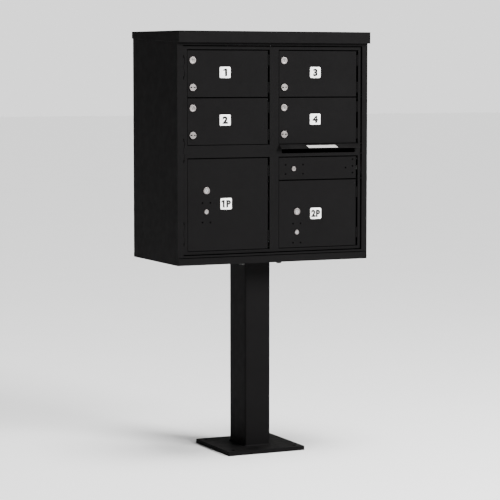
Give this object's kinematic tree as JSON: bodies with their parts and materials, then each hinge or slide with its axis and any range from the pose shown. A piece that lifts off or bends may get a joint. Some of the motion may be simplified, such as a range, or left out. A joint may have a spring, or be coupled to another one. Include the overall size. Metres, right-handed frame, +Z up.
{
  "type": "cluster mailbox unit",
  "caption": "Pedestal cluster mailbox: sloped-hood cabinet, hinged master door with locked tenant and parcel doors, an outgoing mail slot and a carrier lock, on a post and base plate.",
  "frame": {"origin": "on the ground at the centre of the base plate's anchor bolt pattern, at the plate's underside", "axes": "+X to the right along the front, +Y from the doors to the back, +Z up"},
  "size_m": [0.7746, 0.4572, 1.5748],
  "materials": {
    "powder_coat": "black powder coat, satin, fine texture",
    "interior_sheet": "bare mill-finish aluminium sheet",
    "bright_hardware": "satin nickel plated hardware"
  },
  "bodies": {
    "cabinet": {"base_plate": "powder_coat", "pedestal_post": "powder_coat", "mounting_flange": "powder_coat", "cabinet_bolts": "bright_hardware", "bottom_pan": "powder_coat", "left_panel": "powder_coat", "right_panel": "powder_coat", "back_panel": "powder_coat", "back_rivets": "powder_coat", "top_panel": "interior_sheet", "hood": "powder_coat", "head_rail": "powder_coat", "sill_rail": "powder_coat", "strike_plate": "bright_hardware", "centre_partition": "interior_sheet", "left_shelves": "interior_sheet", "right_shelves": "interior_sheet", "compartment_floor": "interior_sheet", "outgoing_baffle": "interior_sheet", "master_hinge_leaves": "powder_coat", "master_hinge_pins": "powder_coat"},
    "master_leaf": {"master_door": "powder_coat", "door_stop_frame": "powder_coat", "door_hinge_leaves": "powder_coat", "door_hinge_pins": "powder_coat", "lock_strikes": "bright_hardware", "outgoing_awning": "powder_coat", "lock_panel": "powder_coat", "bolt_guides": "powder_coat", "carrier_lock_case": "bright_hardware"},
    "carrier_lock": {"carrier_lock_plug": "bright_hardware"},
    "bolt": {"lock_bolt": "bright_hardware"},
    "tenant_1": {"tenant_door_1": "powder_coat", "lock_case_1": "bright_hardware", "pull_knob_1": "bright_hardware"},
    "tenant_lock_1": {"lock_plug_1": "bright_hardware"},
    "tenant_2": {"tenant_door_2": "powder_coat", "lock_case_2": "bright_hardware", "pull_knob_2": "bright_hardware"},
    "tenant_lock_2": {"lock_plug_2": "bright_hardware"},
    "tenant_3": {"tenant_door_3": "powder_coat", "lock_case_3": "bright_hardware", "pull_knob_3": "bright_hardware"},
    "tenant_lock_3": {"lock_plug_3": "bright_hardware"},
    "tenant_4": {"tenant_door_4": "powder_coat", "lock_case_4": "bright_hardware", "pull_knob_4": "bright_hardware"},
    "tenant_lock_4": {"lock_plug_4": "bright_hardware"},
    "parcel_1": {"parcel_door_1": "powder_coat", "customer_lock_case_1": "bright_hardware", "control_lock_case_1": "bright_hardware", "latch_housing_1": "powder_coat"},
    "customer_lock_1": {"customer_lock_plug_1": "bright_hardware"},
    "control_lock_1": {"control_lock_plug_1": "bright_hardware"},
    "parcel_2": {"parcel_door_2": "powder_coat", "customer_lock_case_2": "bright_hardware", "control_lock_case_2": "bright_hardware", "latch_housing_2": "powder_coat"},
    "customer_lock_2": {"customer_lock_plug_2": "bright_hardware"},
    "control_lock_2": {"control_lock_plug_2": "bright_hardware"}
  },
  "joints": [
    {"name": "master_door_hinge", "type": "hinge", "parent": "cabinet", "child": "master_leaf", "pos_m": [-0.35895, -0.2089, 1.13895], "axis": [0, 0, -1], "range_deg": [0, 105]},
    {"name": "tenant_door_1_hinge", "type": "hinge", "parent": "master_leaf", "child": "tenant_1", "pos_m": [-0.0191, -0.2057, 1.41643], "axis": [0, 0, 1], "range_deg": [0, 105]},
    {"name": "tenant_lock_1_turn", "type": "hinge", "parent": "tenant_1", "child": "tenant_lock_1", "pos_m": [-0.32305, -0.2089, 1.4649], "axis": [0, 1, 0], "range_deg": [0, 90]},
    {"name": "tenant_door_2_hinge", "type": "hinge", "parent": "master_leaf", "child": "tenant_2", "pos_m": [-0.0191, -0.2057, 1.24398], "axis": [0, 0, 1], "range_deg": [0, 105]},
    {"name": "tenant_lock_2_turn", "type": "hinge", "parent": "tenant_2", "child": "tenant_lock_2", "pos_m": [-0.32305, -0.2089, 1.29245], "axis": [0, 1, 0], "range_deg": [0, 90]},
    {"name": "tenant_door_3_hinge", "type": "hinge", "parent": "master_leaf", "child": "tenant_3", "pos_m": [0.34605, -0.2057, 1.41643], "axis": [0, 0, 1], "range_deg": [0, 105]},
    {"name": "tenant_lock_3_turn", "type": "hinge", "parent": "tenant_3", "child": "tenant_lock_3", "pos_m": [0.0421, -0.2089, 1.4649], "axis": [0, 1, 0], "range_deg": [0, 90]},
    {"name": "tenant_door_4_hinge", "type": "hinge", "parent": "master_leaf", "child": "tenant_4", "pos_m": [0.34605, -0.2057, 1.24398], "axis": [0, 0, 1], "range_deg": [0, 105]},
    {"name": "tenant_lock_4_turn", "type": "hinge", "parent": "tenant_4", "child": "tenant_lock_4", "pos_m": [0.0421, -0.2089, 1.29245], "axis": [0, 1, 0], "range_deg": [0, 90]},
    {"name": "parcel_door_1_hinge", "type": "hinge", "parent": "master_leaf", "child": "parcel_1", "pos_m": [-0.0191, -0.2057, 0.942], "axis": [0, 0, 1], "range_deg": [0, 105]},
    {"name": "customer_lock_1_turn", "type": "hinge", "parent": "parcel_1", "child": "customer_lock_1", "pos_m": [-0.26935, -0.2089, 0.994], "axis": [0, -1, 0], "range_deg": [0, 90]},
    {"name": "control_lock_1_turn", "type": "hinge", "parent": "parcel_1", "child": "control_lock_1", "pos_m": [-0.26935, -0.2089, 0.917], "axis": [0, 1, 0], "range_deg": [0, 90]},
    {"name": "parcel_door_2_hinge", "type": "hinge", "parent": "master_leaf", "child": "parcel_2", "pos_m": [0.34605, -0.2057, 0.8991], "axis": [0, 0, 1], "range_deg": [0, 105]},
    {"name": "customer_lock_2_turn", "type": "hinge", "parent": "parcel_2", "child": "customer_lock_2", "pos_m": [0.0958, -0.2089, 0.9082], "axis": [0, -1, 0], "range_deg": [0, 90]},
    {"name": "control_lock_2_turn", "type": "hinge", "parent": "parcel_2", "child": "control_lock_2", "pos_m": [0.0958, -0.2089, 0.8312], "axis": [0, 1, 0], "range_deg": [0, 90]},
    {"name": "carrier_lock_turn", "type": "hinge", "parent": "master_leaf", "child": "carrier_lock", "pos_m": [0.0829, -0.2089, 1.06695], "axis": [0, 1, 0], "range_deg": [0, 90]},
    {"name": "lock_bolt_slide", "type": "slide", "parent": "master_leaf", "child": "bolt", "axis": [1, 0, 0], "range_m": [0, 0.01414]}
  ],
  "couplings": [
    {"joint": "carrier_lock_turn", "follows": "lock_bolt_slide", "rad_per_m": 111.07}
  ]
}
